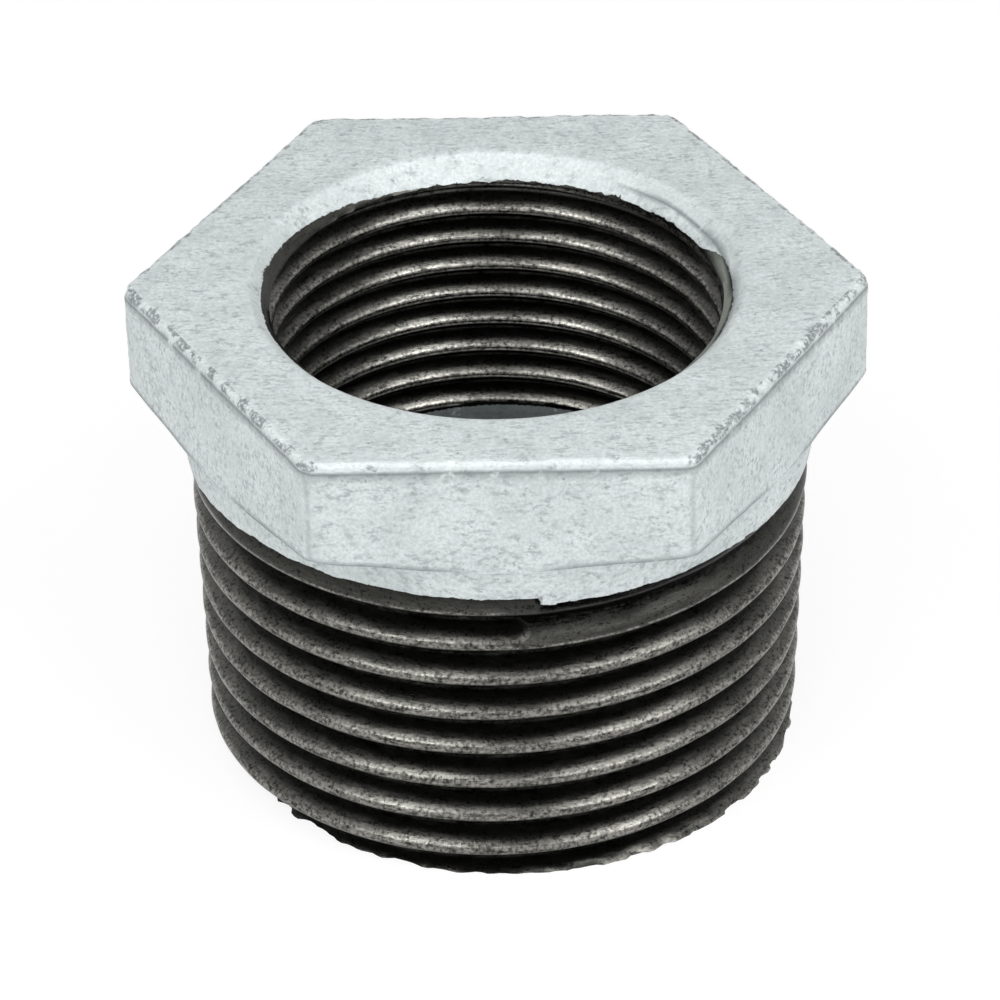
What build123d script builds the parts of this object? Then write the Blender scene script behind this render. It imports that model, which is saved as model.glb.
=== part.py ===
"""Hexagon reducing bush: a galvanised malleable iron pipe fitting in one piece.

A hexagon head is cast on a round collar.  Below the collar is a taper male thread, a
right-handed helix of 55 degree form.  Inside is a parallel bore for the smaller female
thread, with a countersunk mouth above it and a cored waterway below it.
The origin is the centre of the end face at the small end, and +Z points to the head.
"""
import os
from math import atan, degrees, radians, tan

from build123d import *

# ---- Driving dimensions, in millimetres and degrees ----
OVERALL_LENGTH = 28.0

ACROSS_FLATS = 35.0
HEX_CORNER_RADIUS = 1.1      # cast rounding of the six upright corners
HEX_CORNER_HEIGHT = 6.2      # length of an upright corner, from the top face down
HEX_EDGE_RADIUS = 0.5        # cast rounding round the top face
HEX_UNDERSIDE_SLOPE = 12.0   # fall of the underside towards the collar

COLLAR_DIAMETER = 34.9       # where the collar leaves the hexagon
COLLAR_LOW_DIAMETER = 34.2   # where the collar meets the thread
COLLAR_HEIGHT = 2.4

MALE_PITCH = 2.309           # 11 threads to the inch
MALE_DIAMETER = 33.249       # over the crests at the gauge plane
MALE_GAUGE_LENGTH = 10.4     # from the small end to the gauge plane
MALE_TAPER = 1 / 16          # on the diameter
MALE_THREAD_ANGLE = 55.0     # between the flanks of a groove
MALE_CREST_WIDTH = 0.385     # flat that sets both flanks where the rounded form has them
MALE_END_CHAMFER = 0.5
MALE_LAST_GROOVE = 1.93      # from the collar down to the last full groove
MALE_LAST_ANGLE = 274.0      # where the last full groove stops, from +X
RUN_OUT_DEPTH = 0.62         # depth of the groove that the lead of the die leaves
RUN_OUT_TURNS = 0.6

FEMALE_MINOR_DIAMETER = 24.117   # bore over the crests of the female thread
FEMALE_LENGTH = 17.1         # from the mouth to the end of the female thread
COUNTERSINK_DIAMETER = 26.8
COUNTERSINK_ANGLE = 90.0
WATERWAY_DIAMETER = 22.4     # cored bore below the female thread
WATERWAY_SHOULDER_SLOPE = 30.0   # fall of the shoulder between the two bores
WATERWAY_END_CHAMFER = 0.4

CUTTER_MARGIN = 0.2          # how far a cutter stands proud of the crests

# ---- Derived sizes ----
CORNER_REACH = ACROSS_FLATS / 3 ** 0.5
COLLAR_RADIUS = COLLAR_DIAMETER / 2
CORNER_BOTTOM = OVERALL_LENGTH - HEX_CORNER_HEIGHT
COLLAR_TOP = CORNER_BOTTOM - (CORNER_REACH - COLLAR_RADIUS) * tan(radians(HEX_UNDERSIDE_SLOPE))
COLLAR_BOTTOM = COLLAR_TOP - COLLAR_HEIGHT

FLANK_SLOPE = tan(radians(MALE_THREAD_ANGLE / 2))
MALE_DEPTH = (MALE_PITCH - MALE_CREST_WIDTH) / 2 / FLANK_SLOPE
MALE_TOP_GROOVE = COLLAR_BOTTOM - MALE_LAST_GROOVE
MALE_TURNS = MALE_TOP_GROOVE / MALE_PITCH + 1

FEMALE_RADIUS = FEMALE_MINOR_DIAMETER / 2
WATERWAY_RADIUS = WATERWAY_DIAMETER / 2
COUNTERSINK_RADIUS = COUNTERSINK_DIAMETER / 2
COUNTERSINK_BOTTOM = OVERALL_LENGTH - (COUNTERSINK_RADIUS - FEMALE_RADIUS) / tan(
    radians(COUNTERSINK_ANGLE / 2)
)
SHOULDER_TOP = OVERALL_LENGTH - FEMALE_LENGTH
SHOULDER_BOTTOM = SHOULDER_TOP - (FEMALE_RADIUS - WATERWAY_RADIUS) * tan(
    radians(WATERWAY_SHOULDER_SLOPE)
)


def male_crest(height):
    """Radius over the male crests at a height above the end face."""
    return MALE_DIAMETER / 2 + (height - MALE_GAUGE_LENGTH) * MALE_TAPER / 2


def male_groove(depth, start_height, start_angle, turns):
    """The solid that a V cutter sweeps as it climbs anticlockwise.

    It follows the taper of the crests, from start_angle about the axis at start_height.
    """
    half_width = (depth + CUTTER_MARGIN) * FLANK_SLOPE
    crest_radius = male_crest(start_height)
    proud_radius = crest_radius + CUTTER_MARGIN
    with BuildPart() as groove:
        with BuildLine() as path:
            Helix(
                pitch=MALE_PITCH,
                height=MALE_PITCH * turns,
                radius=crest_radius,
                center=(0, 0, start_height),
                cone_angle=degrees(atan(MALE_TAPER / 2)),
            )
        with BuildSketch(Plane.XZ):
            with BuildLine():
                Polyline(
                    (proud_radius, start_height - half_width),
                    (crest_radius - depth, start_height),
                    (proud_radius, start_height + half_width),
                    close=True,
                )
            make_face()
        sweep(path=path.line, is_frenet=True)
    return groove.part.rotate(Axis.Z, start_angle)


with BuildPart() as hex_bushing:
    # Head: a hexagon whose underside falls to the collar as a shallow cone
    with BuildSketch(Plane.XY.offset(COLLAR_TOP)) as hexagon:
        RegularPolygon(radius=ACROSS_FLATS / 2, side_count=6, major_radius=False)
        fillet(hexagon.vertices(), radius=HEX_CORNER_RADIUS)
    extrude(amount=OVERALL_LENGTH - COLLAR_TOP)
    fillet(hex_bushing.faces().sort_by(Axis.Z)[-1].edges(), radius=HEX_EDGE_RADIUS)
    with BuildSketch(Plane.XZ):
        with BuildLine():
            Polyline(
                (COLLAR_RADIUS, COLLAR_TOP),
                (CORNER_REACH, COLLAR_TOP),
                (CORNER_REACH, CORNER_BOTTOM),
                close=True,
            )
        make_face()
    revolve(axis=Axis.Z, mode=Mode.SUBTRACT)

    # Collar and shank, with the shank tapered as the crests of the male thread
    with BuildSketch(Plane.XZ):
        with BuildLine():
            Polyline(
                (0, 0),
                (male_crest(0) - MALE_END_CHAMFER, 0),
                (male_crest(MALE_END_CHAMFER), MALE_END_CHAMFER),
                (male_crest(COLLAR_BOTTOM), COLLAR_BOTTOM),
                (COLLAR_LOW_DIAMETER / 2, COLLAR_BOTTOM),
                (COLLAR_RADIUS, COLLAR_TOP),
                (0, COLLAR_TOP),
                close=True,
            )
        make_face()
    revolve(axis=Axis.Z)

    # Male thread: full grooves up from below the small end, then a shallow part turn
    add(
        male_groove(
            depth=MALE_DEPTH,
            start_height=MALE_TOP_GROOVE - MALE_TURNS * MALE_PITCH,
            start_angle=MALE_LAST_ANGLE - 360 * MALE_TURNS,
            turns=MALE_TURNS,
        ),
        mode=Mode.SUBTRACT,
    )
    add(
        male_groove(
            depth=RUN_OUT_DEPTH,
            start_height=MALE_TOP_GROOVE,
            start_angle=MALE_LAST_ANGLE,
            turns=RUN_OUT_TURNS,
        ),
        mode=Mode.SUBTRACT,
    )

    # Inside: waterway, shoulder, bore of the female thread and countersunk mouth
    with BuildSketch(Plane.XZ):
        with BuildLine():
            Polyline(
                (0, 0),
                (WATERWAY_RADIUS + WATERWAY_END_CHAMFER, 0),
                (WATERWAY_RADIUS, WATERWAY_END_CHAMFER),
                (WATERWAY_RADIUS, SHOULDER_BOTTOM),
                (FEMALE_RADIUS, SHOULDER_TOP),
                (FEMALE_RADIUS, COUNTERSINK_BOTTOM),
                (COUNTERSINK_RADIUS, OVERALL_LENGTH),
                (0, OVERALL_LENGTH),
                close=True,
            )
        make_face()
    revolve(axis=Axis.Z, mode=Mode.SUBTRACT)

hex_bushing.part.label = "hex_bushing"
os.makedirs("parts", exist_ok=True)
export_step(hex_bushing.part, "parts/hex_bushing.step")
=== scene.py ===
"""A hexagon reducing bush in hot-dip galvanised malleable iron, with both threads cut bare.

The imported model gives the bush's place and size.  One piece with a closed skin stands for its
solid: the head and the core are turned blanks, each thread is a profile screwed up the axis,
and the four are joined and bridged.  Lengths in the classes are millimetres.  Azimuths run
from +X, and named ones are in degrees.  A Band is two ends, mostly of an eased step.
"""
import logging
import math
from contextlib import contextmanager
from dataclasses import dataclass
from enum import Enum
from functools import partial
from typing import Any, Callable, Iterator, NamedTuple, Sequence, Union

import bmesh
import bpy
from mathutils import Matrix, Vector, noise


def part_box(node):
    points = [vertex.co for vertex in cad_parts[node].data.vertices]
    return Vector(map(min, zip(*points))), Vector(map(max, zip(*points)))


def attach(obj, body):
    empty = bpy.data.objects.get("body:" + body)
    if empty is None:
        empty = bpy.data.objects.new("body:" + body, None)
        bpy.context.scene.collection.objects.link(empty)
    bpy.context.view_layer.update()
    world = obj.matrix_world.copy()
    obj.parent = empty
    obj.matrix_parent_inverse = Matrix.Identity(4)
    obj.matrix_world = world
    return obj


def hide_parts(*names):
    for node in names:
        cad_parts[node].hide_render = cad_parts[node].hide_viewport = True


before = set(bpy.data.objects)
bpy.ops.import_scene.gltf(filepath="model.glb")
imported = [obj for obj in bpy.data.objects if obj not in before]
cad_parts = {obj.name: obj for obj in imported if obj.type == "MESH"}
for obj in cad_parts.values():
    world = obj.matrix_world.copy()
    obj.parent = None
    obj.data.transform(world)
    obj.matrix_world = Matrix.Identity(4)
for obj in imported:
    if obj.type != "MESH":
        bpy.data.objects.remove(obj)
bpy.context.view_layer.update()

MM = 0.001
FULL_TURN = 2 * math.pi
FLATS = 6  # of the hexagon
FLAT_TURN = FULL_TURN / FLATS
WELD = 0.002  # vertices nearer than this are merged
NODE = "hex_bushing"
CAD_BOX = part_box(NODE)
BODY = "root"
LOG = logging.getLogger("bush")

Profile = list[tuple[float, float]]
Band = tuple[float, float]
Wave = tuple[float, float, float]  # height, width of a feature, and seed of a noise


# ---------------------------------------------------------------- small helpers
def smoothstep(low: float, high: float, value: float) -> float:
    """Eased step from 0 at low to 1 at high, which may be the smaller."""
    share = min(1.0, max(0.0, (value - low) / (high - low)))
    return share * share * (3 - 2 * share)


def lerp(a: float, b: float, share: float) -> float:
    """The value a share of the way from a to b."""
    return a + (b - a) * share


def shares(count: int) -> list[float]:
    """The ends of a number of even steps from 0 to 1."""
    return [i / count for i in range(1, count + 1)]


def drawn_to(line: float, reach: float, height: float) -> float:
    """A height drawn nearer to a line, where it is within reach of it."""
    away = height - line
    return height if abs(away) > reach else line + reach * (away / reach) ** 3


def azimuth_of(x: float, y: float) -> float:
    """Angle about the axis from +X, from 0 to a full turn."""
    return math.atan2(y, x) % FULL_TURN


def signed_degrees(azimuth: float) -> float:
    """An azimuth in degrees, from -180 to 180."""
    return (math.degrees(azimuth) + 180) % 360 - 180


def wall_point(azimuth: float, radius: float, height: float = 0.0) -> Vector:
    """The place at an azimuth, radius and height."""
    return Vector((math.cos(azimuth) * radius, math.sin(azimuth) * radius, height))


def grain(point: Vector, size: float, seed: float = 0.0) -> float:
    """Smooth noise from -1 to 1.

    Args:
        point: place in millimetres.
        size: width of a feature, in millimetres.
        seed: shifts the pattern.

    Returns:
        The noise at the point.
    """
    return noise.noise(point / size + Vector((seed, seed * 1.7, seed * 2.3)))


def ragged(point: Vector, waves: Sequence[Wave]) -> float:
    """The sum of some waves of noise at a place, about 0."""
    return sum(height * grain(point, size, seed) for height, size, seed in waves)


def pitted(point: Vector, size: float, seed: float) -> float:
    """Noise from 0 to 1 at a place."""
    return 0.5 + 0.5 * grain(point, size, seed)


def linear(colour: str) -> tuple[float, float, float, float]:
    """An sRGB hex colour as linear RGBA."""
    channels = [int(colour[i : i + 2], 16) / 255 for i in (1, 3, 5)]
    values = [c / 12.92 if c <= 0.04045 else ((c + 0.055) / 1.055) ** 2.4 for c in channels]
    return (*values, 1.0)


@contextmanager
def editing(piece: bpy.types.Object) -> Iterator[None]:
    """Edit mode on one piece, with nothing else selected, and all of it selected."""
    bpy.ops.object.select_all(action="DESELECT")
    piece.select_set(True)
    bpy.context.view_layer.objects.active = piece
    bpy.ops.object.mode_set(mode="EDIT")
    bpy.ops.mesh.select_all(action="SELECT")
    try:
        yield
    finally:
        bpy.ops.object.mode_set(mode="OBJECT")


def profile_piece(name: str, points: Profile) -> bpy.types.Object:
    """An open wire in the XZ plane, made from one side of a plane primitive.

    Args:
        name: the piece's name.
        points: (radius, height) of each point, in millimetres.

    Returns:
        The wire, whose vertices follow the points in order.
    """
    bpy.ops.object.select_all(action="DESELECT")
    bpy.ops.mesh.primitive_plane_add(size=2 * MM, location=(0, 0, 0))
    piece = bpy.context.object
    piece.name = name
    with editing(piece):
        mesh = bmesh.from_edit_mesh(piece.data)
        bmesh.ops.delete(mesh, geom=[v for v in mesh.verts if v.co.x > 0], context="VERTS")
        bmesh.update_edit_mesh(piece.data)
        bpy.ops.mesh.subdivide(number_cuts=len(points) - 2)
        mesh = bmesh.from_edit_mesh(piece.data)
        for vertex, (radius, height) in zip(sorted(mesh.verts, key=lambda v: v.co.y), points):
            vertex.co = Vector((radius, 0, height)) * MM
        bmesh.update_edit_mesh(piece.data)
    return piece


def spun(name: str, points: Profile, columns: int) -> bpy.types.Object:
    """A turned blank: a profile spun once about the axis.

    Args:
        name: the piece's name.
        points: (radius, height) of each point, in millimetres.
        columns: steps round the axis.

    Returns:
        The blank, welded where the spin closes.
    """
    piece = profile_piece(name, points)
    with editing(piece):
        bpy.ops.mesh.spin(steps=columns, angle=FULL_TURN, center=(0, 0, 0), axis=(0, 0, 1))
        bpy.ops.mesh.select_all(action="SELECT")
        bpy.ops.mesh.remove_doubles(threshold=WELD * MM)
    return piece


def move_vertices(piece: bpy.types.Object, move: Callable[[Vector], Vector]) -> None:
    """Sets each vertex of a piece by a rule.

    Args:
        piece: the piece to reshape.
        move: takes a place in millimetres and returns the new one.
    """
    for vertex in piece.data.vertices:
        vertex.co = move(vertex.co / MM) * MM
    piece.data.update()


class Mark(Enum):
    """Names of the vertex values, from 0 to 1, that the finish reads."""

    COAT = "coat"  # where zinc covers the iron, and not where a thread was cut through it
    EDGE = "edge"  # how lumpy the zinc is, with a painted highlight on its beads: on the casting's edges and the countersink
    CREASE = "crease"  # painted shade: dark lines under the top edge, down the corners and where the flats meet the underside, and deep in the bore; and a fine dark line on the countersink's right side
    SCRAPED = "scraped"  # where the countersink was scraped to plain grey metal
    WORN = "worn"  # painted light and shade on a thread, with how clean it is: black roots, lighter up the upward flank to the crest


def mark(piece: bpy.types.Object, name: Mark, values: list[float]) -> None:
    """Writes one value per vertex, for the finish to read."""
    layer = piece.data.attributes.new(name.value, "FLOAT", "POINT")
    layer.data.foreach_set("value", values)


# ---------------------------------------------------------------- shape of the bush
@dataclass(frozen=True)
class BushSizes:
    """Main sizes of the bush, in millimetres: those of its solid."""

    length: float = (CAD_BOX[1][2] - CAD_BOX[0][2]) / MM
    across_flats: float = (CAD_BOX[1][1] - CAD_BOX[0][1]) / MM
    corner_radius: float = 1.1
    corner_height: float = 6.2
    edge_radius: float = 0.5
    underside_slope: float = math.tan(math.radians(12.0))
    collar_radius: float = 17.45
    collar_low_radius: float = 17.1
    collar_low_height: float = 18.9
    mouth_radius: float = 13.4
    female_radius: float = 12.0585
    female_length: float = 17.1
    waterway_radius: float = 11.2
    waterway_chamfer: float = 0.4
    shoulder_slope: float = math.tan(math.radians(30.0))

    @property
    def corner_reach(self) -> float:
        """Distance from the axis to a sharp corner of the hexagon."""
        return self.across_flats / math.sqrt(3)

    @property
    def collar_top(self) -> float:
        """Height where the collar leaves the underside of the hexagon."""
        overhang = self.corner_reach - self.collar_radius
        return self.length - self.corner_height - overhang * self.underside_slope

    @property
    def shoulder_top(self) -> float:
        """Height of the shoulder's upper edge."""
        return self.length - self.female_length

    def collar(self, height: float) -> float:
        """Radius of the collar's slightly tapered wall at a height."""
        share = (self.collar_top - height) / (self.collar_top - self.collar_low_height)
        return lerp(self.collar_radius, self.collar_low_radius, share)

    def countersink(self, height: float) -> float:
        """Radius of the 90 degree countersink at a height."""
        return self.mouth_radius - (self.length - height)


SIZES = BushSizes()
LOOP_GAP = 0.2  # height left between two loops that a bridge joins
CLEAN_FLAT = (243.0, 297.0)  # azimuths between which the top edge came out cleaner, with fewer lumps and a weaker painted highlight
DIE_STOP = 277.0  # azimuth where the die stopped and left its step


@dataclass(frozen=True)
class Casting:
    """Roughness of a sand casting: gentle waves, fine dimples, and bumps along its edges."""

    skin: tuple[Wave, ...] = ((0.12, 6.0, 3.1), (0.03, 1.1, 8.7))
    edge_bump: Wave = (0.17, 0.5, 1.9)

    def sunk(self, point: Vector, edge: float) -> float:
        """How far the cast surface lies below its ideal form.

        Args:
            point: place in millimetres.
            edge: 1 on an edge of the casting, 0 away from it.

        Returns:
            A depth in millimetres, never negative.
        """
        bump, *place = self.edge_bump
        depth = sum(height * pitted(point, *where) for height, *where in self.skin)
        return depth + edge * bump * pitted(point, *place)


class Part(Enum):
    """Parts of the head's profile, from the mouth outwards and down."""

    TOP = "top"
    EDGE = "edge"
    SIDE = "side"
    UNDER = "under"
    COLLAR = "collar"


class Station(NamedTuple):
    """One ring of the head's blank, with its share of the way along its part."""

    radius: float
    height: float
    part: Part
    share: float


@dataclass(frozen=True)
class Head:
    """Hexagon head, its underside and the upper collar, as one turned and formed skin.

    Bands for a part are shares of the way along it, and bands for a corner or the middle are
    distances from it, as shares of a flat.
    """

    columns: int = 480
    side_rows: int = 16
    top_rows: int = 13
    edge_rows: int = 6
    under_rows: int = 5
    collar_rows: int = 5
    corner_share: float = 0.06
    # width of the painted shade line under the top edge
    crease_width: float = 0.16
    low_edge_wave: Wave = (0.10, 3.0, 2.2)
    sag: float = 0.28
    sag_band: Band = (0.28, 0.06)
    sag_clearance: float = 0.02  # the collar starts at least this far below the low edge
    clean_level: float = 0.75  # how lumpy the cleaner stretch of the top edge is, and how strong its painted highlight
    mouth_level: float = 0.4
    mouth_band: Band = (0.10, 0.0)
    top_band: Band = (0.95, 1.0)
    side_band: Band = (0.04, 0.0)
    corner_level: float = 0.5
    corner_band: Band = (0.10, 0.03)
    soft_crease: float = 0.5  # the row beyond the painted shade line's darkest
    # painted shade down the corners
    corner_crease: float = 0.35
    corner_crease_band: Band = (0.035, 0.0)
    seam_band: Band = (0.04, 0.14)  # the painted shade line at the low seam fades towards the middle of a flat
    soft_seam: float = 0.6  # the row above the seam
    casting: Casting = Casting()

    @property
    def crease_row(self) -> float:
        """The painted shade line's width as a share of the side's height."""
        return self.crease_width / (SIZES.corner_height - SIZES.edge_radius)

    def along_flat(self, azimuth: float) -> float:
        """Share of the way from one corner of the hexagon to the next."""
        return azimuth / FLAT_TURN % 1

    def outline(self, column: float, inset: float) -> tuple[float, float]:
        """A point of the hexagon's rounded outline.

        Args:
            column: place round the outline, in columns from the +X corner.
            inset: distance of the outline inside the full one.

        Returns:
            The point's x and y.
        """
        side = column * FLATS / self.columns
        corner = math.floor(side + 1e-6)  # a column on a corner may fall just short of it
        share = side - corner
        radius = SIZES.corner_radius - inset * (SIZES.corner_radius > inset)
        reach = (SIZES.across_flats / 2 - SIZES.corner_radius) / math.cos(FLAT_TURN / 2)
        here, there = corner * FLAT_TURN, (corner + 1) * FLAT_TURN
        if self.corner_share <= share <= 1 - self.corner_share:
            along = (share - self.corner_share) / (1 - 2 * self.corner_share)
            place = wall_point(here, reach).lerp(wall_point(there, reach), along)
            place += wall_point((here + there) / 2, radius)
            return place.x, place.y
        if share < self.corner_share:
            centre, facing = here, here + FLAT_TURN / 2 * share / self.corner_share
        else:
            centre, facing = there, there - FLAT_TURN / 2 * (1 - share) / self.corner_share
        return (
            reach * math.cos(centre) + radius * math.cos(facing),
            reach * math.sin(centre) + radius * math.sin(facing),
        )

    def stations(self) -> list[Station]:
        """The rings of the blank's profile, from the mouth outwards and down."""
        blank, edge = SIZES.corner_reach, SIZES.edge_radius
        top, low = SIZES.length, SIZES.length - SIZES.corner_height
        rows: list[Station] = []
        for share in (0.0, *shares(self.top_rows)):
            rows.append(Station(lerp(SIZES.mouth_radius, blank - edge, share), top, Part.TOP, share))
        for share in shares(self.edge_rows):
            turn = math.pi / 2 * share
            radius = blank - edge * (1 - math.sin(turn))
            rows.append(Station(radius, top - edge * (1 - math.cos(turn)), Part.EDGE, share))
        crease = self.crease_row
        for share in (crease, 2 * crease, *shares(self.side_rows)[:-1], 1 - crease, 1.0):
            rows.append(Station(blank, lerp(top - edge, low, share), Part.SIDE, share))
        for share in shares(self.under_rows):
            radius = lerp(blank, SIZES.collar_radius, share)
            height = SIZES.collar_top + (radius - SIZES.collar_radius) * SIZES.underside_slope
            rows.append(Station(radius, height, Part.UNDER, share))
        for share in shares(self.collar_rows):
            height = lerp(SIZES.collar_top, MALE.top + LOOP_GAP, share)
            rows.append(Station(SIZES.collar(height), height, Part.COLLAR, share))
        return rows

    def formed(self, station: Station, azimuth: float) -> Vector:
        """Where a point of the turned blank goes when the head is formed to its hexagon.

        Args:
            station: the point's ring.
            azimuth: the point's angle about the axis.

        Returns:
            The place on the head.
        """
        radius, height, part, share = station
        column = azimuth / FULL_TURN * self.columns
        rim = Vector((*self.outline(column, 0), 0.0))
        low = SIZES.collar_top + (rim.length - SIZES.collar_radius) * SIZES.underside_slope
        low += ragged(rim, [self.low_edge_wave])
        low -= self.sag * smoothstep(*self.sag_band, abs(self.along_flat(azimuth) - 0.5))
        collar_top = min(SIZES.collar_top, low - self.sag_clearance)
        if part is Part.COLLAR:
            return wall_point(azimuth, radius, lerp(collar_top, MALE.top + LOOP_GAP, share))
        if part is Part.TOP:
            edge = Vector((*self.outline(column, SIZES.edge_radius), height))
            return wall_point(azimuth, SIZES.mouth_radius, height).lerp(edge, share)
        if part is Part.EDGE:
            inset = SIZES.edge_radius * (1 - math.sin(math.pi / 2 * share))
            return Vector((*self.outline(column, inset), height))
        if part is Part.SIDE:
            return Vector((rim.x, rim.y, lerp(SIZES.length - SIZES.edge_radius, low, share)))
        place = rim.lerp(wall_point(azimuth, SIZES.collar_radius), share)
        return Vector((place.x, place.y, lerp(low, collar_top, share)))

    def edge_share(self, station: Station, azimuth: float) -> float:
        """1 on an edge of the casting and 0 away from it, for the bumps of zinc and their painted
        highlight.
        """
        level = self.clean_level if CLEAN_FLAT[0] < math.degrees(azimuth) < CLEAN_FLAT[1] else 1.0
        if station.part is Part.TOP:
            mouth = self.mouth_level * smoothstep(*self.mouth_band, station.share)
            return max(level * smoothstep(*self.top_band, station.share), mouth)
        if station.part is Part.EDGE:
            return level
        if station.part is Part.SIDE:
            side = self.along_flat(azimuth)
            corner = self.corner_level * smoothstep(*self.corner_band, min(side, 1 - side))
            return max(level * smoothstep(*self.side_band, station.share), corner)
        return 0.0

    def crease_share(self, station: Station, azimuth: float) -> float:
        """1 in the painted shade lines under the top edge and where the flats meet the underside, fainter
        down the corners.
        """
        if station.part is not Part.SIDE:
            return 0.0
        rows_down = station.share / self.crease_row
        rows_up = (1 - station.share) / self.crease_row
        if rows_down < 2.3:
            return 1.0 if rows_down < 1.3 else self.soft_crease
        side = self.along_flat(azimuth)
        corner = self.corner_crease * smoothstep(*self.corner_crease_band, min(side, 1 - side))
        seam = 1.0 if rows_up < 0.3 else self.soft_seam * (rows_up < 1.3)
        return max(seam * smoothstep(*self.seam_band, abs(side - 0.5)), corner)

    def build(self) -> bpy.types.Object:
        """Turns the blank and forms it."""
        stations = self.stations()
        piece = spun("head", [(row.radius, row.height) for row in stations], self.columns)
        edges: list[float] = []
        creases: list[float] = []

        def form(point: Vector) -> Vector:
            """The formed place of one vertex of the blank."""
            radius = point.xy.length
            station = min(stations, key=lambda row: abs(row.radius - radius) + abs(row.height - point.z))
            azimuth = azimuth_of(point.x, point.y)
            edges.append(self.edge_share(station, azimuth))
            creases.append(self.crease_share(station, azimuth))
            return self.formed(station, azimuth)

        move_vertices(piece, form)
        with editing(piece):
            bpy.ops.mesh.normals_make_consistent(inside=False)
        normals = [vertex.normal.copy() for vertex in piece.data.vertices]
        if normals[0].z < 0:
            normals = [-normal for normal in normals]
        for vertex, normal, edge in zip(piece.data.vertices, normals, edges):
            vertex.co -= normal * self.casting.sunk(vertex.co / MM, edge) * MM
        mark(piece, Mark.EDGE, edges)
        mark(piece, Mark.CREASE, creases)
        mark(piece, Mark.COAT, [1.0] * len(edges))
        return piece


# Whitworth form: flanks 27.5 degrees from square, and sizes as shares of the pitch
FLANK_ANGLE = math.radians(27.5)
FORM_DEPTH = 0.6403
FORM_TRIANGLE = 0.9605  # height of the sharp form
FORM_ROUNDING = 0.1373  # radius of its roots and crests
FORM_ARC = 0.1218  # half the height of each of those arcs
TRIM_OFF = 1.5  # pitches of skin below a thread that the trim takes away


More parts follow.
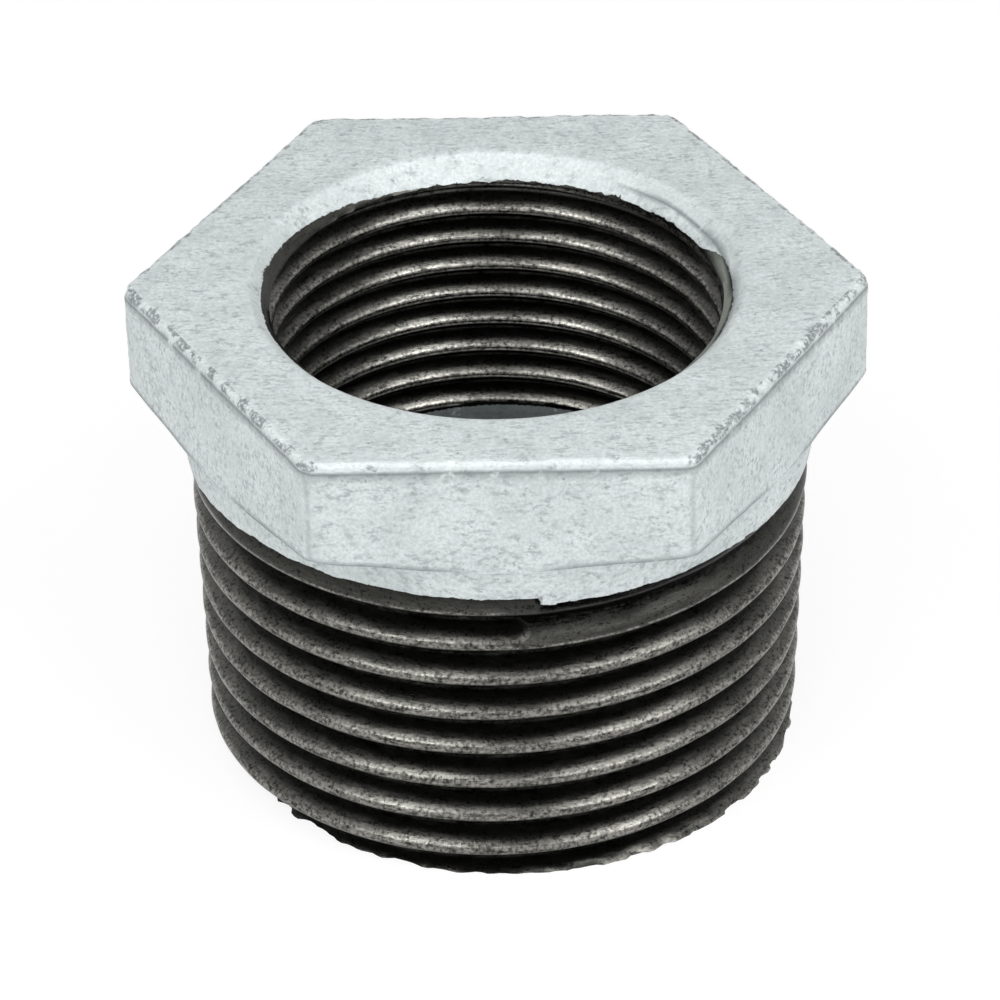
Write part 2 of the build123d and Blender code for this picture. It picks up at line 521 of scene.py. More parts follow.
@dataclass(frozen=True)
class HelicalThread:
    """A right-hand Whitworth form thread: a profile screwed up the axis.

    The profile of one pitch has rounded roots and crests.  Each vertex of the screwed skin
    knows its groove, so the grooves' depth can change along the helix.
    """

    pitch: float
    columns: int
    groove_height: float  # height of a groove's middle at azimuth 0
    bottom: float
    top: float
    arc_steps: int = 2
    flank_points: int = 2
    squeeze: float = 0.35  # rows this near to the coat's edge are drawn towards it
    # where the painted highlight lies along the crest
    crest_band: Band = (0.9, 1.0)
    under_level: float = 0.4  # how light the downward flanks are at most, the rest of them painted shade
    under_bands: tuple[Band, Band] = ((0.1, 0.5), (0.92, 0.75))
    tear_size: float = 0.5
    tear_climb: float = 1.6  # tears lie along the cut, so their pattern is finer in height
    tear: float = 0.0
    tear_seed: float = 0.0

    @property
    def depth(self) -> float:
        """Depth of the rounded form."""
        return FORM_DEPTH * self.pitch

    def offsets(self) -> list[float]:
        """Heights of the profile's points within one pitch, from a crest to the next."""
        arc = FORM_ARC * self.pitch
        half = self.pitch / 2
        rising = [0.0, *(arc * share for share in shares(self.arc_steps))]
        flank = [lerp(arc, half - arc, share) for share in shares(self.flank_points + 1)[:-1]]
        side = rising + flank + [half - value for value in reversed(rising)]
        return [-value for value in reversed(side)] + side[1:]

    def cut(self, offset: float) -> float:
        """Share of the full depth that the form has at a height from a groove's middle."""
        rounding = FORM_ROUNDING * self.pitch
        tangent = rounding * math.cos(FLANK_ANGLE)
        half = self.depth / 2
        away = min(abs(offset), self.pitch / 2)
        from_crest = self.pitch / 2 - away
        if away < tangent:
            level = -half + rounding - math.sqrt(rounding**2 - away**2)
        elif from_crest < tangent:
            level = half - rounding + math.sqrt(rounding**2 - from_crest**2)
        else:
            level = FORM_TRIANGLE * self.pitch * (2 * away / self.pitch - 0.5)
        return (half - level) / self.depth

    def groove(self, azimuth: float, height: float) -> tuple[float, float]:
        """The groove nearest to a place.

        Args:
            azimuth: angle about the axis.
            height: height of the place.

        Returns:
            The groove's own angle along the helix, in turns, and the height above its middle.
        """
        turns = (height - self.groove_height) / self.pitch - azimuth / FULL_TURN
        nearest = round(turns)
        return nearest + azimuth / FULL_TURN, (turns - nearest) * self.pitch

    def torn(self, azimuth: float, height: float, stretch: float) -> float:
        """Depth of the tears that the tool left in the wall.

        Args:
            azimuth: angle about the axis.
            height: height of the place.
            stretch: radius at which the noise is taken, and the smaller, the longer the tears.

        Returns:
            A depth in millimetres.
        """
        place = wall_point(azimuth, stretch, height * self.tear_climb)
        return self.tear * pitted(place, self.tear_size, self.tear_seed) ** 2

    def surface(self, azimuth: float, height: float) -> float:
        """Radius of the finished wall at a place."""
        raise NotImplementedError

    def coat_edge(self, azimuth: float) -> float:
        """Height of the edge between zinc and bare thread."""
        raise NotImplementedError

    def coat(self, azimuth: float, height: float) -> float:
        """1 where the wall is zinc, 0 where it is bare, and between them across its edge."""
        raise NotImplementedError

    def drawn_to_edge(self, azimuth: float, height: float) -> float:
        """A height moved nearer to the coat's edge, so that a row of vertices lies along it."""
        return drawn_to(self.coat_edge(azimuth), self.squeeze, height)

    def line(self, azimuth: float, height: float) -> float:
        """1 on a dark line and in painted shade; a plain thread has neither."""
        return 0.0

    def scraped(self, azimuth: float, height: float) -> float:
        """1 where the wall is scraped to plain grey; a plain thread has no such place."""
        return 0.0

    def lumpy(self, azimuth: float, height: float) -> float:
        """How lumpy the zinc is; on a plain thread, not at all."""
        return 0.0

    def worn(self, azimuth: float, height: float) -> float:
        """How lit and clean the wall is: painted shade in the roots and on the downward flanks, and
        painted light up the upward flank to the crest.
        """
        _, offset = self.groove(azimuth, height)
        crown = 1 - self.cut(offset)
        if offset < 0:
            return crown
        rise, fall = (smoothstep(*band, crown) for band in self.under_bands)
        return max(self.under_level * rise * fall, smoothstep(*self.crest_band, crown))

    def screwed(self, name: str, radius: float) -> bpy.types.Object:
        """The plain screwed skin, longer at both ends than the thread."""
        low = self.bottom - TRIM_OFF * self.pitch
        first = self.groove_height + self.pitch * math.floor((low - self.groove_height) / self.pitch)
        piece = profile_piece(name, [(radius, first + offset) for offset in self.offsets()])
        bpy.ops.object.modifier_add(type="SCREW")
        screw = piece.modifiers[-1]
        screw.angle = FULL_TURN
        screw.steps = screw.render_steps = self.columns
        screw.screw_offset = self.pitch * MM
        screw.iterations = math.ceil((self.top - first) / self.pitch) + 1
        screw.use_merge_vertices = False
        bpy.ops.object.modifier_apply(modifier=screw.name)
        with editing(piece):
            bpy.ops.mesh.remove_doubles(threshold=WELD * MM)
        return piece

    def trim(self, piece: bpy.types.Object) -> None:
        """Cuts the skin square at both ends."""
        with editing(piece):
            for height, end in ((self.bottom, -1), (self.top, 1)):
                bpy.ops.mesh.select_all(action="SELECT")
                bpy.ops.mesh.bisect(
                    plane_co=(0, 0, height * MM), plane_no=(0, 0, end), clear_outer=True, threshold=1e-7
                )

    def build(self, name: str, radius: float) -> bpy.types.Object:
        """Screws the profile, cuts its grooves and trims its ends.

        Args:
            name: the piece's name.
            radius: radius of the plain skin before its grooves are cut.

        Returns:
            The thread, with its marks.
        """
        piece = self.screwed(name, radius)
        rules = {
            Mark.COAT: self.coat,
            Mark.WORN: self.worn,
            Mark.CREASE: self.line,
            Mark.SCRAPED: self.scraped,
            Mark.EDGE: self.lumpy,
        }
        marks: dict[Mark, list[float]] = {rule: [] for rule in rules}

        def form(point: Vector) -> Vector:
            """The place of one vertex on the finished wall."""
            azimuth = azimuth_of(point.x, point.y)
            height = self.drawn_to_edge(azimuth, point.z)
            for kind, rule in rules.items():
                marks[kind].append(rule(azimuth, height))
            return wall_point(azimuth, self.surface(azimuth, height), height)

        move_vertices(piece, form)
        for kind, values in marks.items():
            mark(piece, kind, values)
        self.trim(piece)
        return piece


@dataclass(frozen=True)
class MaleThread(HelicalThread):
    """Taper thread on the shank, from the small end up to the collar's ragged zinc edge."""

    gauge_radius: float = 33.249 / 2
    gauge_height: float = 10.4
    taper: float = 1 / 32
    last_turn: float = 0.0  # where the full grooves stop, in turns
    run_out: float = 0.62  # depth of the last shallow turn at its start
    run_out_turns: float = 1.02
    run_out_dullness: float = 0.7
    dull_blend: float = 0.02
    tear: float = 0.06
    tear_seed: float = 2.4
    tear_radius: float = 3.74  # under the real radius, so that tears are long
    zinc_edge: Band = (18.55, 19.12)  # heights of the zinc's edge, low and where it rises
    zinc_rise: Band = (195, 222)
    zinc_waves: tuple[Wave, ...] = ((0.10, 0.45, 4.2), (0.08, 1.1, 7.2), (0.08, 5.0, 5.2))
    zinc_blend: float = 0.3
    worn_power: float = 0.65  # under 1, so that the clean, painted lighter part of a flank is wider
    scale_band: Band = (0.9, 0.3)  # depth under the zinc's edge with painted shade under the collar, and black scale
    # azimuths over which that painted shade fades out
    scale_end: Band = (150, 90)
    end_wear: float = 0.45
    end_wear_band: Band = (0.7, 0.3)
    end_chamfer: float = 0.1
    chipping: float = 0.24
    chip_radius: float = 17.0  # where the noise of chips and burrs is taken
    chip: Wave = (1.0, 1.1, 3.3)
    chip_band: Band = (-0.05, 0.2)
    fine_chip: Wave = (0.5, 0.6, 6.1)
    burr: float = 0.16  # share of the groove that burrs fill at the small end
    burr_wave: Wave = (0.5, 0.9, 1.4)
    burr_most: float = 0.36
    burr_height: float = 0.6

    def crest(self, height: float) -> float:
        """Radius over the crests at a height."""
        return self.gauge_radius + (height - self.gauge_height) * self.taper

    def coat_edge(self, azimuth: float) -> float:
        """Height of the lower edge of the zinc, which steps where the die stopped."""
        degrees = math.degrees(azimuth)
        rise = smoothstep(*self.zinc_rise, degrees) * (degrees < DIE_STOP)
        rim = wall_point(azimuth, SIZES.collar_low_radius)
        return lerp(*self.zinc_edge, rise) + ragged(rim, self.zinc_waves)

    def groove_share(self, turns: float) -> float:
        """Share of the full depth at an angle along the helix, in turns from the first groove."""
        past = turns - self.last_turn
        if past <= 0:
            return 1.0
        return lerp(self.run_out, self.run_out / 2, min(1.0, past)) * (past < self.run_out_turns)

    def coat(self, azimuth: float, height: float) -> float:
        """1 on the collar, 0 on the thread."""
        return smoothstep(-self.zinc_blend, self.zinc_blend, height - self.coat_edge(azimuth))

    def worn(self, azimuth: float, height: float) -> float:
        """As for any thread, but duller on the last shallow turn, darker with painted shade under the
        collar's zinc edge, and grey at the end.
        """
        turns, _ = self.groove(azimuth, height)
        degrees = math.degrees(azimuth)
        dull = smoothstep(self.last_turn - self.dull_blend, self.last_turn + self.dull_blend, turns)
        # painted shade under the collar's zinc edge, with its black scale
        scale = smoothstep(*self.scale_band, self.coat_edge(azimuth) - height)
        scale *= max(degrees > DIE_STOP, smoothstep(*self.scale_end, degrees))
        cleaned = super().worn(azimuth, height) ** self.worn_power
        cleaned *= lerp(1.0, self.run_out_dullness, dull) * (1 - scale)
        return max(cleaned, self.end_wear * smoothstep(*self.end_wear_band, height))

    def surface(self, azimuth: float, height: float) -> float:
        """Radius of the wall: thread below the zinc's edge and collar above it."""
        if height > self.coat_edge(azimuth):
            return SIZES.collar(height)
        turns, offset = self.groove(azimuth, height)
        place = wall_point(azimuth, self.chip_radius, height)
        burr = self.burr + ragged(wall_point(azimuth, self.chip_radius), [self.burr_wave])
        burr = min(max(burr, 0.0), self.burr_most)
        depth = self.depth * self.cut(offset) * self.groove_share(turns)
        depth *= 1 - smoothstep(self.burr_height, 0.0, height) * burr
        chip = smoothstep(*self.chip_band, ragged(place, [self.chip]))
        chip += abs(ragged(place, [self.fine_chip]))
        rim = self.crest(0.0) - self.end_chamfer - self.chipping * chip + max(height, 0.0)
        return min(self.crest(height) - depth - self.torn(azimuth, height, self.tear_radius), rim)


@dataclass(frozen=True)
class FemaleThread(HelicalThread):
    """Parallel thread in the bore, with the countersunk mouth that cuts its first turns."""

    last_height: float = 12.1
    first_height: float = 26.72
    line_height: float = 27.25  # of a fine dark line on the countersink's right side
    line_ends: tuple[Band, Band] = ((-75, -50), (64, 46))
    line_band: Band = (0.10, 0.02)
    tear: float = 0.04
    tear_seed: float = 6.4
    tear_radius: float = 2.6  # under the real radius, so that tears are long
    scraped_start: Band = (-100, -70)
    scraped_end: Band = (26, 10)
    scraped_band: Band = (-0.35, -0.1)  # heights from first_height, as the next ones are
    # heights of the first turn's painted lighter band
    wiped_bands: tuple[Band, Band] = ((-1.9, -1.0), (-0.1, -0.45))
    mouth_band: Band = (-0.1, 0.1)
    lump_band: Band = (0.0, 0.2)
    fade_top: Band = (0.1, -0.5)
    fade_bottom: Band = (-0.5, 0.4)  # heights from last_height
    lump_level: float = 0.5
    wiped: float = 0.85  # the first turn below the mouth, painted lighter as lit
    mouth_wear: float = 0.5
    worn_power: float = 0.5  # under 1, so that the clean, painted lighter part of a flank is wider
    zinc_right_end: Band = (26, 12)
    zinc_left: Band = (100, 165)
    zinc_waves: tuple[Wave, ...] = ((0.14, 0.40, 9.2), (0.10, 1.0, 2.9))
    zinc_raggedness: Band = (0.8, 0.25)  # where the edge is low, and where it is high
    zinc_blend: float = 0.1
    foot_blend: float = 0.5

    def scraped(self, azimuth: float, height: float) -> float:
        """1 on the plain grey part of the countersink, 0 elsewhere."""
        degrees = signed_degrees(azimuth)
        side = smoothstep(*self.scraped_start, degrees) * smoothstep(*self.scraped_end, degrees)
        return side * smoothstep(*self.scraped_band, height - self.first_height)

    def line(self, azimuth: float, height: float) -> float:
        """1 on a fine dark line on the countersink's right side, and below the thread as painted shade
        deep in the bore.
        """
        if height < self.last_height:
            return 1.0
        start, end = (smoothstep(*band, signed_degrees(azimuth)) for band in self.line_ends)
        return start * end * smoothstep(*self.line_band, abs(height - self.line_height))

    def lumpy(self, azimuth: float, height: float) -> float:
        """How lumpy the zinc is, with a painted highlight on it: it is on the countersink."""
        return self.lump_level * smoothstep(*self.lump_band, height - self.first_height)

    def coat_edge(self, azimuth: float) -> float:
        """Height of the ragged lower edge of the countersink's zinc, higher at both sides."""
        degrees = signed_degrees(azimuth)
        right = smoothstep(*self.scraped_start, degrees) * smoothstep(*self.zinc_right_end, degrees)
        high = max(smoothstep(*self.zinc_left, abs(degrees)), right)
        waves = ragged(wall_point(azimuth, SIZES.female_radius), self.zinc_waves)
        return lerp(self.first_height, self.line_height, high) + waves * lerp(*self.zinc_raggedness, high)

    def drawn_to_edge(self, azimuth: float, height: float) -> float:
        """As for any thread, and drawn to the tool's line too."""
        return drawn_to(self.line_height, self.squeeze / 2, super().drawn_to_edge(azimuth, height))

    def coat(self, azimuth: float, height: float) -> float:
        """1 on the countersink and below the thread, 0 on the thread."""
        mouth = smoothstep(-self.zinc_blend, self.zinc_blend, height - self.coat_edge(azimuth))
        return max(mouth, smoothstep(0.0, self.foot_blend, self.last_height - height))

    def worn(self, azimuth: float, height: float) -> float:
        """As for any thread, but wider, and painted lighter on the first turn below the mouth."""
        above = height - self.first_height
        start, end = (smoothstep(*band, above) for band in self.wiped_bands)
        mouth = smoothstep(*self.mouth_band, above)
        thread = super().worn(azimuth, height) ** self.worn_power * (1 - mouth)
        return max(thread, self.wiped * start * end, self.mouth_wear * mouth)

    def surface(self, azimuth: float, height: float) -> float:
        """Radius of the wall: the thread's, or the countersink's where that is wider."""
        if height >= self.first_height:
            return max(SIZES.female_radius, SIZES.countersink(height))
        _, offset = self.groove(azimuth, height)
        fade = smoothstep(*self.fade_bottom, height - self.last_height)
        fade *= smoothstep(*self.fade_top, height - self.first_height)
        cut = self.depth * self.cut(offset) * fade
        return SIZES.female_radius + cut + self.torn(azimuth, height, self.tear_radius)


# 1 in taper and 3/4 in parallel pipe threads
MALE_PITCH, MALE_STOP = 2.309, 274 / 360  # the stop, in turns, is 16.884 mm up
FEMALE_PITCH, BACK = 1.814, 90 / 360  # a crest at the back is 24.75 mm up
MALE = MaleThread(
    pitch=MALE_PITCH,
    columns=300,
    groove_height=16.884 - MALE_PITCH * MALE_STOP,
    bottom=0.0,
    top=19.9,
    last_turn=MALE_STOP,
)
FEMALE = FemaleThread(
    pitch=FEMALE_PITCH,
    columns=240,
    groove_height=24.75 - FEMALE_PITCH * (BACK + 0.5),
    bottom=11.2,
    top=27.8,
    flank_points=1,
)


@dataclass(frozen=True)
class Core:
    """End face, waterway and shoulder, as one turned skin."""

    columns: int = 240
    face_inner: float = 15.0
    face_rows: int = 3
    waterway_rows: int = 5
    dark_band: Band = (2.0, 8.0)  # heights over which painted shade darkens the waterway

    def build(self) -> bpy.types.Object:
        """Turns the core's profile, from the end face up to the foot of the female thread."""
        radius = SIZES.waterway_radius
        chamfer = SIZES.waterway_chamfer
        shoulder = SIZES.shoulder_top - (SIZES.female_radius - radius) * SIZES.shoulder_slope
        face = [0.0, *shares(self.face_rows)]
        points = [(lerp(self.face_inner, radius + chamfer, share), 0.0) for share in face]
        waterway = [0.0, *shares(self.waterway_rows)]
        points += [(radius, lerp(chamfer, shoulder, share)) for share in waterway]
        points += [(SIZES.female_radius, SIZES.shoulder_top)]
        piece = spun("core", points, self.columns)
        # painted shade, darker up the waterway towards the bore
        dark = [smoothstep(*self.dark_band, vertex.co.z / MM) for vertex in piece.data.vertices]
        mark(piece, Mark.CREASE, dark)
        mark(piece, Mark.COAT, [1.0] * len(dark))
        return piece


@dataclass(frozen=True)
class HexBush:
    """The bush in one closed skin."""

    head: Head = Head()
    male: MaleThread = MALE
    female: FemaleThread = FEMALE
    core: Core = Core()
    loop_slack: float = 0.05  # a loop lies within this of its height
    sharp_angle: float = math.radians(50)

    def seams(self) -> list[tuple[float, float, float, float]]:
        """Height and radius ranges of the four pairs of loops that bridges join."""
        slack = self.loop_slack
        return [
            (self.male.top - slack, self.male.top + 2 * LOOP_GAP, 16.0, 18.0),
            (-slack, slack, 14.5, 17.0),
            (self.female.top - slack, SIZES.length + slack, 12.5, 14.0),
            (SIZES.shoulder_top - slack, self.female.bottom + slack, 11.5, 13.5),
        ]

    def select(self, mesh: bmesh.types.BMesh, seam: tuple[float, float, float, float]) -> None:
        """Selects the two open loops of a seam."""
        low, high, inner, outer = seam
        chosen = 0
        for edge in mesh.edges:
            middle = (edge.verts[0].co + edge.verts[1].co) / 2 / MM
            hit = edge.is_boundary and low < middle.z < high and inner < middle.xy.length < outer
            edge.select_set(hit)
            chosen += hit
        mesh.select_flush_mode()
        LOG.info("bridging %d edges at height %.1f mm", chosen, low)

    def build(self) -> bpy.types.Object:
        """Builds the four skins, joins them and bridges their seams."""
        parts = [
            self.head.build(),
            self.male.build("male_thread", self.male.gauge_radius),
            self.female.build("female_thread", SIZES.female_radius),
            self.core.build(),
        ]
        bpy.ops.object.select_all(action="DESELECT")
        for part in parts:
            part.select_set(True)
        piece = parts[0]
        bpy.context.view_layer.objects.active = piece
        bpy.ops.object.join()
        piece.name = piece.data.name = "bush_body"
        with editing(piece):
            bpy.ops.mesh.select_mode(type="EDGE")
            for seam in self.seams():
                self.select(bmesh.from_edit_mesh(piece.data), seam)
                bmesh.update_edit_mesh(piece.data)
                bpy.ops.mesh.bridge_edge_loops()
            bpy.ops.mesh.select_all(action="SELECT")
            bpy.ops.mesh.normals_make_consistent(inside=False)
            edges = bmesh.from_edit_mesh(piece.data).edges
            LOG.info("open or doubled edges: %d", sum(not edge.is_manifold for edge in edges))
        bpy.ops.object.shade_smooth_by_angle(angle=self.sharp_angle)
        return piece


# ---------------------------------------------------------------- finishes
TIMES = {"operation": "MULTIPLY"}
PLUS = {"operation": "ADD"}
LESS = {"operation": "SUBTRACT"}
MOST = {"operation": "MAXIMUM"}
EASED = {"interpolation_type": "SMOOTHSTEP"}
COLOURS = {"data_type": "RGBA"}

Socket = bpy.types.NodeSocket


def add_node(
    tree: bpy.types.NodeTree,
    kind: str,
    settings: dict[str, Any],
    inputs: Union[Sequence[Any], dict[str, Any]] = (),
    output: str = "",
) -> Socket:
    """Adds a node with its settings and its inputs.

    Args:
        tree: the node tree.
        kind: the node's type name after "ShaderNode".
        settings: values by property name.
        inputs: for each input in use, in order or by name, a socket to link or a value.  A
            string is an sRGB hex colour.
        output: name of the output to return, where it isn't the first in use.

    Returns:
        That output, or nothing for a node that has none.
    """
    node = tree.nodes.new("ShaderNode" + kind)
    for name, value in settings.items():
        setattr(node, name, value)
    in_use = [socket for socket in node.inputs if socket.enabled]
    named = inputs if isinstance(inputs, dict) else dict(enumerate(inputs))
    for key, value in named.items():
        socket = in_use[key] if isinstance(key, int) else node.inputs[key]
        if isinstance(value, Socket):
            tree.links.new(value, socket)
        else:
            socket.default_value = linear(value) if isinstance(value, str) else value
    return node.outputs[output] if output else next((s for s in node.outputs if s.enabled), None)


class Finish:
    """A material under construction, with the patterns that its layers share."""

    def __init__(self, name: str) -> None:
        """Starts the material and its place input.

        Args:
            name: the material's name.
        """
        self.material = bpy.data.materials.new(name)
        self.material.use_nodes = True
        self.material.node_tree.nodes.clear()
        self.add = partial(add_node, self.material.node_tree)
        self.place = self.add("TexCoord", {}, output="Object")
        self.marks = {
            kind: self.add("Attribute", {"attribute_name": kind.value}, output="Fac") for kind in Mark
        }
        self.fine = self.pattern(0.20, 3, 0.6)
        self.blotch = self.pattern(0.9, 3, 0.6)

    def pattern(
        self, size: float, detail: float, rough: float, finer: tuple[float, float, float] = (1, 1, 1)
    ) -> Socket:
        """Noise from 0 to 1.

        Args:
            size: width of a feature in millimetres.
            detail: octaves of finer noise.
            rough: strength of the finer octaves.
            finer: how much finer the pattern is along each axis.

        Returns:
            The noise's output.
        """
        scale = Vector(finer) / (size * MM)
        place = self.add("Mapping", {}, {"Vector": self.place, "Scale": scale})
        inputs = {"Vector": place, "Scale": 1.0, "Detail": detail, "Roughness": rough}
        return self.add("TexNoise", {}, inputs)

    def where(self, *parts: Any) -> Socket:
        """Strong only where all of several parts are.

        Args:
            parts: each a socket or a number, or a socket and a band for an eased step.

        Returns:
            The product of the parts.
        """
        terms = [
            self.add("MapRange", EASED, (part[0], *part[1])) if isinstance(part, tuple) else part
            for part in parts
        ]
        product = terms[0]
        for term in terms[1:]:
            product = self.add("Math", TIMES, (product, term))
        return product

    def over(self, under: Any, colour: Any, *parts: Any) -> Socket:
        """A colour laid over another where some parts are strong, which are as for where."""
        return self.add("Mix", COLOURS, (self.where(*parts), under, colour))


class Layer(NamedTuple):
    """What one layer of the finish gives the shader."""

    colour: Socket
    rough: Socket
    height: Socket


@dataclass(frozen=True)
class ZincSkin:
    """Hot-dip galvanised iron: satin pale grey, faintly flecked, with broken edges that carry a painted
    highlight.
    """

    light: str = "#dee4e4"
    mid: str = "#ced5d5"
    fleck: str = "#a9b1b2"
    speck: str = "#78807f"
    # pale flecks, and the painted highlight on the beads of the edges
    bright: str = "#dde3e3"
    # painted shade in the dark lines, and dross
    crease: str = "#666e6e"
    metallic: float = 0.35
    rough: Band = (0.62, 0.76)
    cloud_size: float = 3.5
    cloud_band: Band = (0.30, 0.70)
    fleck_size: float = 0.34
    fleck_finer: tuple[float, float, float] = (0.5, 1.5, 1.0)  # long along X
    grey_band: Band = (0.35, 0.62)
    pale_band: Band = (0.44, 0.30)
    fleck_band: Band = (0.48, 0.64)
    fleck_patch: Band = (0.36, 0.58)
    speck_band: Band = (0.58, 0.68)
    speck_patch: Band = (0.50, 0.62)
    # pattern of the painted highlight on the edges
    rim_band: Band = (0.42, 0.58)
    line_patch: Band = (0.28, 0.42)
    dross_patch: Band = (0.56, 0.68)
    dross_band: Band = (0.30, 0.56)
    clot_edge: Band = (0.80, 0.98)
    clot_patch: Band = (0.44, 0.55)

    def layer(self, finish: Finish) -> Layer:
        """Soft clouds, short brushed flecks, sparse specks, a painted highlight on the beads of the edges,
        dross, and painted shade in dark lines.
        """
        add, where, over = finish.add, finish.where, finish.over
        fine, blotch, edge = finish.fine, finish.blotch, finish.marks[Mark.EDGE]
        clouds = finish.pattern(self.cloud_size, 4, 0.6)
        flecks = finish.pattern(self.fleck_size, 3, 0.7, self.fleck_finer)
        colour = over(self.mid, self.light, (clouds, self.cloud_band))
        colour = over(colour, self.fleck, (fine, self.grey_band), 0.4)
        colour = over(colour, self.bright, (flecks, self.pale_band), 0.45)
        colour = over(colour, self.fleck, (flecks, self.fleck_band), (blotch, self.fleck_patch), 0.9)
        colour = over(colour, self.speck, (fine, self.speck_band), (blotch, self.speck_patch), 0.6)
        # painted highlight on the beads of the edges
        colour = over(colour, self.bright, edge, (flecks, self.rim_band), 0.7)
        # painted shade along the dark lines, broken in patches
        lines = where(finish.marks[Mark.CREASE], (blotch, self.line_patch))
        dross = where(edge, (blotch, self.dross_patch))
        clots = where((edge, self.clot_edge), (blotch, self.clot_patch))
        lumps = where(add("Math", MOST, (dross, clots)), (fine, self.dross_band))
        colour = over(colour, self.crease, add("Math", MOST, (lines, lumps)), 0.75)
        relief = add("Math", PLUS, (where(blotch, 0.5), where(fine, 0.35)))
        relief = add("Math", PLUS, (relief, where(edge, where(flecks, 1.2))))
        return Layer(colour, add("Mix", {}, (clouds, *self.rough)), relief)


@dataclass(frozen=True)
class CutIron:
    """Die-cut malleable iron under cutting oil: dark, torn in streaks, with painted shade in the roots and
    a painted highlight along the crests.
    """

    # black: oil and painted shade in the roots, and pits
    black: str = "#040404"
    flank: str = "#373734"
    # grey of the clean upper flanks, painted lighter as lit
    wiped: str = "#64635f"
    # the crests' painted highlight
    bright: str = "#95938d"
    scraped: str = "#8d918a"
    rough: Band = (0.2, 0.4)
    scraped_rough: float = 0.6
    streak_size: float = 0.30
    streak_finer: tuple[float, float, float] = (0.25, 0.25, 1.6)  # long round the thread
    patch_size: float = 2.4
    patch_finer: tuple[float, float, float] = (0.6, 0.6, 1.6)
    flank_band: Band = (-0.05, 0.45)  # of how lit and clean the metal is, less its dirt
    wiped_band: Band = (0.42, 0.95)
    dullest: float = 0.35  # share of the clean, lit grey that patches and speckle leave
    patch_band: Band = (0.34, 0.62)
    speckle_band: Band = (0.42, 0.55)
    crest_band: Band = (0.88, 1.0)
    crest_streaks: Band = (0.36, 0.56)
    pit_band: Band = (0.54, 0.62)
    pit_streaks: Band = (0.62, 0.46)

    def layer(self, finish: Finish) -> Layer:
        """Roots black with oil and painted shade, and streaked flanks, clean and painted lighter towards a
        painted highlight on the crests.
        """
        add, where, over = finish.add, finish.where, finish.over
        fine, worn, scraped = finish.fine, finish.marks[Mark.WORN], finish.marks[Mark.SCRAPED]
        streaks = finish.pattern(self.streak_size, 5, 0.75, self.streak_finer)
        patches = finish.pattern(self.patch_size, 3, 0.6, self.patch_finer)
        dirt = add("Math", PLUS, (where(streaks, 0.9), where(fine, 0.8)))
        # painted light and shade of the thread, less its dirt
        level = add("Math", PLUS, (worn, add("Math", LESS, (dirt, 0.85))))
        patchy = add("Mix", {}, (where((patches, self.patch_band)), self.dullest, 1.0))
        speckle = add("Mix", {}, (where((fine, self.speckle_band)), 1.0, self.dullest))
        colour = over(self.black, self.flank, (level, self.flank_band))
        # painted light: the clean grey up the upward flanks, broken in patches
        colour = over(colour, self.wiped, (level, self.wiped_band), where(patchy, speckle))
        # painted highlight along the crests, broken by streaks and speckle
        colour = over(colour, self.bright, (worn, self.crest_band), (streaks, self.crest_streaks), speckle)
        colour = over(colour, self.black, (fine, self.pit_band), (streaks, self.pit_streaks), 0.7)
        colour = over(colour, self.scraped, add("Math", LESS, (scraped, where(fine, 0.35))))
        # painted shade deep in the bore, in black
        colour = over(colour, self.black, finish.marks[Mark.CREASE])
        rough = add("Mix", {}, (scraped, add("Mix", {}, (streaks, *self.rough)), self.scraped_rough))
        return Layer(colour, rough, add("Math", PLUS, (where(streaks, 0.3), where(fine, 0.15))))


@dataclass(frozen=True)
class BushFinish:
    """The whole casting's finish: zinc, broken where the dies and the tap cut through it."""

    zinc: ZincSkin = ZincSkin()
    iron: CutIron = CutIron()
    raggedness: float = 0.9
    edge_band: Band = (0.45, 0.55)
    relief: float = 0.07  # depth of the bump, in millimetres

    def material(self) -> bpy.types.Material:
        """Builds the material, with the iron's layer where the marks say that it is bare."""
        finish = Finish("hot_dip_galvanised_iron_with_cut_threads")
        add, where = finish.add, finish.where
        zinc, iron = self.zinc.layer(finish), self.iron.layer(finish)
        wander = where(add("Math", LESS, (finish.fine, 0.5)), self.raggedness)
        edge = add("Math", PLUS, (finish.marks[Mark.COAT], wander))
        coated = where((edge, self.edge_band))
        height = add("Mix", {}, (coated, iron.height, zinc.height))
        bump = {"Strength": 1.0, "Distance": self.relief * MM, "Height": height}
        inputs = {
            "Base Color": add("Mix", COLOURS, (coated, iron.colour, zinc.colour)),
            "Metallic": add("Mix", {}, (coated, 1.0, self.zinc.metallic)),
            "Roughness": add("Mix", {}, (coated, iron.rough, zinc.rough)),
            "Normal": add("Bump", {}, bump),
        }
        add("OutputMaterial", {}, {"Surface": add("BsdfPrincipled", {}, inputs)})
        return finish.material


# ---------------------------------------------------------------- studio
WHITE = "#ffffff"
FULL_FRAME = 36.0  # sensor width in millimetres


def plain_rays(tree: bpy.types.NodeTree) -> Socket:
    """1 for rays from the camera, off metal and through glass, and 0 for light on the bush."""
    rays = [add_node(tree, "LightPath", {}, output=f"Is {ray} Ray") for ray in ("Camera", "Glossy")]
    direct = add_node(tree, "Math", MOST, rays)
    through = add_node(tree, "LightPath", {}, output="Is Transmission Ray")
    return add_node(tree, "Math", MOST, (direct, through))


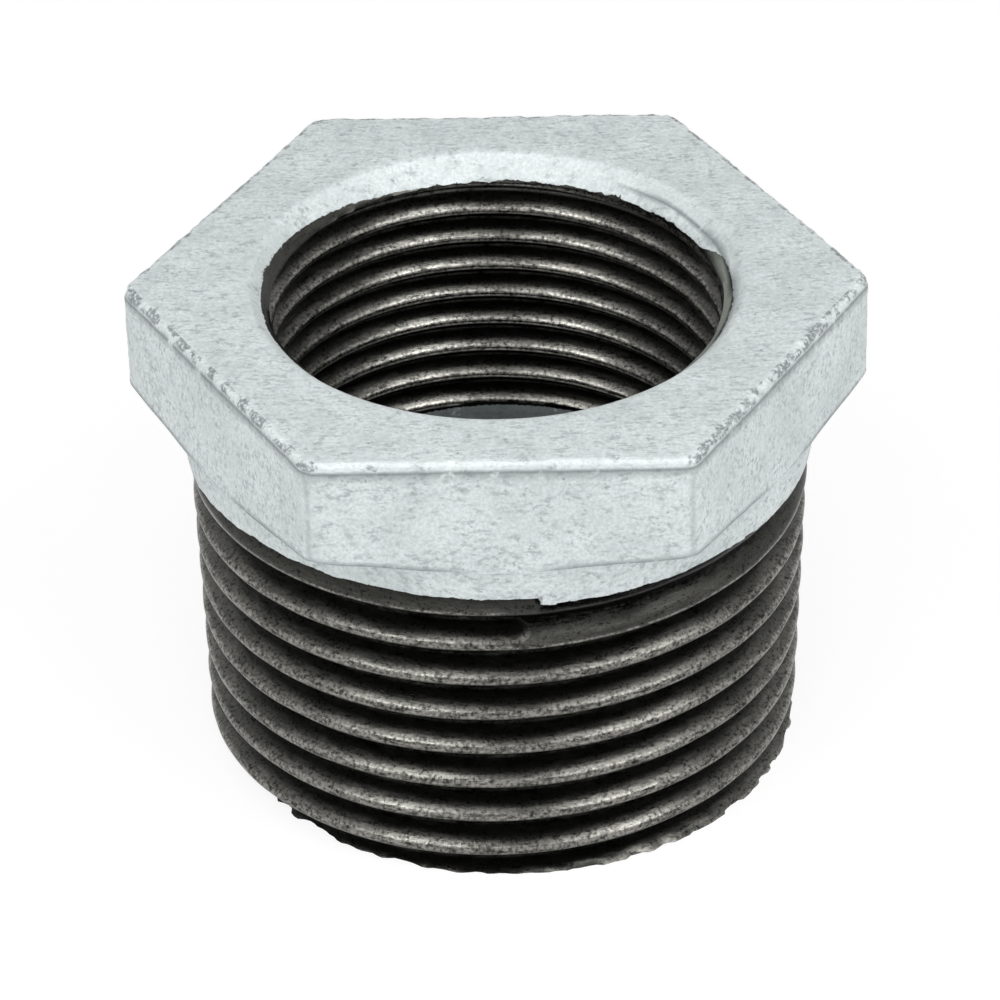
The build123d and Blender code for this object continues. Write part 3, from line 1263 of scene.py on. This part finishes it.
@dataclass(frozen=True)
class Softbox:
    """A rectangular lamp that faces the bush, at an azimuth right of the camera's in degrees.

    Its distance and size are in metres, and its power in watts.
    """

    name: str
    azimuth: float
    elevation: float
    power: float
    distance: float = 0.5
    width: float = 0.3
    height: float = 0.3
    diffuse: bool = True
    glossy: bool = True

    def place(self, target: Vector) -> None:
        """Adds the lamp, aimed at a point."""
        turn, rise = math.radians(self.azimuth), math.radians(self.elevation)
        level = Vector((math.sin(turn), -math.cos(turn), 0)) * math.cos(rise)
        away = level + Vector((0, 0, math.sin(rise)))
        bpy.ops.object.light_add(type="AREA", location=target + away * self.distance)
        lamp = bpy.context.object
        lamp.name = self.name
        lamp.rotation_euler = away.to_track_quat("Z", "Y").to_euler()
        lamp.data.shape = "RECTANGLE"
        lamp.data.size = self.width
        lamp.data.size_y = self.height
        lamp.data.energy = self.power
        lamp.visible_diffuse = self.diffuse
        lamp.visible_glossy = self.glossy


@dataclass(frozen=True)
class Studio:
    """White sweep, soft lamps and the camera.

    Five lamps light the zinc and the floor, and don't show in reflections.  Two high ones show
    only in reflections, where they draw the highlights of the threads.
    """

    elevation: float = 34.562
    distance: float = 334.6
    roll: float = -0.912
    lens: float = 219.46
    nearest: float = 0.01  # of what the camera shows, in metres
    aim: tuple[float, float, float] = (0.0, 0.0, 13.627)
    floor_size: float = 6.0  # in metres
    paper: str = "#f4f4f4"
    glow: float = 1.2
    glow_share: float = 0.68  # so that a shadow takes away the rest
    daylight: float = 0.36  # the world's strength as light on the bush
    lamps: tuple[Softbox, ...] = (
        Softbox("left", -44, 48, 0.40, width=0.26, height=0.26, glossy=False),
        Softbox("right", 48, 47, 0.42, width=0.26, height=0.26, glossy=False),
        Softbox("front", -3, 28, 0.075, distance=0.16, width=0.08, height=0.06, glossy=False),
        Softbox("low_left", -75, 12, 0.45, glossy=False),
        Softbox("low_right", 75, 12, 0.65, glossy=False),
        Softbox("high_left", -54, 62, 1.3, width=0.17, height=0.2, diffuse=False),
        Softbox("high_right", 62, 62, 1.45, width=0.17, height=0.2, diffuse=False),
    )

    def floor(self) -> None:
        """A wide pale floor whose shadows show against plain white."""
        bpy.ops.object.select_all(action="DESELECT")
        bpy.ops.mesh.primitive_plane_add(size=self.floor_size, location=(0, 0, 0))
        floor = bpy.context.object
        floor.name = "floor"
        material = bpy.data.materials.new("white_sweep_paper")
        material.use_nodes = True
        tree = material.node_tree
        tree.nodes.clear()
        paper = add_node(tree, "BsdfDiffuse", {}, {"Color": self.paper})
        glow = add_node(tree, "Emission", {}, {"Color": WHITE, "Strength": self.glow})
        share = add_node(tree, "Math", TIMES, (plain_rays(tree), self.glow_share))
        both = add_node(tree, "MixShader", {}, (share, paper, glow))
        add_node(tree, "OutputMaterial", {}, {"Surface": both})
        floor.data.materials.append(material)

    def world(self) -> None:
        """White surroundings: full to the camera and in reflections, softer as light."""
        world = bpy.data.worlds.new("white_room")
        bpy.context.scene.world = world
        world.use_nodes = True
        tree = world.node_tree
        tree.nodes.clear()
        inputs = {"Value": plain_rays(tree), "To Min": self.daylight, "To Max": 1.0}
        strength = add_node(tree, "MapRange", {}, inputs)
        light = add_node(tree, "Background", {}, {"Color": WHITE, "Strength": strength})
        add_node(tree, "OutputWorld", {}, {"Surface": light})

    def camera(self) -> None:
        """The camera: a long lens, above the bush and square to a flat."""
        rise = math.radians(self.elevation)
        away = Vector((0, -math.cos(rise), math.sin(rise)))
        bpy.ops.object.camera_add(location=(Vector(self.aim) + away * self.distance) * MM)
        camera = bpy.context.object
        camera.name = "camera"
        facing = away.to_track_quat("Z", "Y").to_matrix()
        roll = Matrix.Rotation(math.radians(self.roll), 3, "Z")
        camera.rotation_euler = (facing @ roll).to_euler()
        camera.data.lens = self.lens
        camera.data.sensor_width = FULL_FRAME
        camera.data.clip_start = self.nearest
        bpy.context.scene.camera = camera

    def build(self) -> None:
        """Sets the stage."""
        self.floor()
        self.world()
        for lamp in self.lamps:
            lamp.place(Vector(self.aim) * MM)
        self.camera()
        bpy.context.scene.view_settings.view_transform = "Standard"


def main() -> None:
    """Builds the bush and its stage."""
    logging.basicConfig(level=logging.INFO)
    bush = HexBush().build()
    bush.data.materials.clear()
    bush.data.materials.append(BushFinish().material())
    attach(bush, BODY)
    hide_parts(NODE)
    LOG.info("%s: %d faces", bush.name, len(bush.data.polygons))
    Studio().build()


if __name__ == "__main__":
    main()
